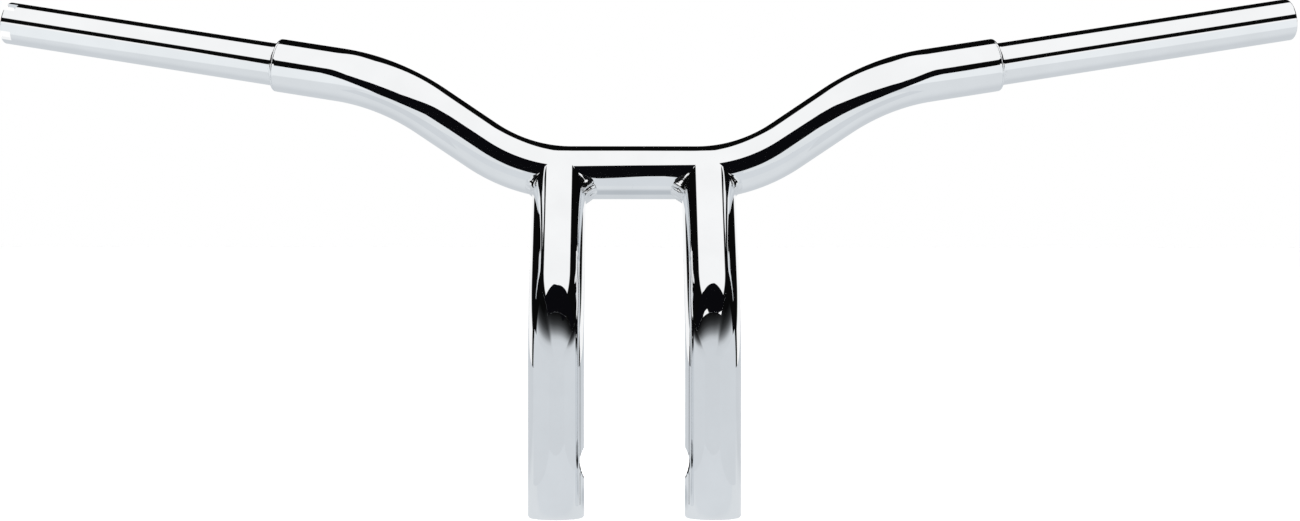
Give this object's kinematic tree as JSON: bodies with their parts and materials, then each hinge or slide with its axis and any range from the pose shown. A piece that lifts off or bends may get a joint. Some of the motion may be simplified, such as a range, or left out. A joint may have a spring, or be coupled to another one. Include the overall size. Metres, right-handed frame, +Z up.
{
  "type": "motorcycle handlebar",
  "caption": "Chromed T-shaped motorcycle handlebar: a bent cross tube welded onto pulled-back risers, with sleeved grip tubes and a slotted throttle end.",
  "frame": {"origin": "midway between the two riser feet, on the plane of their bottom faces", "axes": "+Z up, -Y towards the front wheel, +Y towards the rider, -X the throttle side (the rider's right)"},
  "size_m": [0.7927, 0.1651, 0.3037],
  "materials": {
    "chrome": "mirror plated",
    "dressed_weld": "ground and plated",
    "weld_bead": "rippled and plated",
    "plug_steel": "machined"
  },
  "bodies": {
    "root": {"cross_tube": "chrome", "riser_tube_throttle": "chrome", "riser_tube_clutch": "chrome", "grip_tube_throttle": "chrome", "grip_tube_clutch": "chrome", "shoulder_weld_throttle": "dressed_weld", "shoulder_weld_clutch": "dressed_weld", "riser_weld_throttle": "weld_bead", "riser_weld_clutch": "weld_bead", "foot_plug_throttle": "plug_steel", "foot_plug_clutch": "plug_steel", "foot_weld_throttle": "dressed_weld", "foot_weld_clutch": "dressed_weld"}
  },
  "joints": []
}
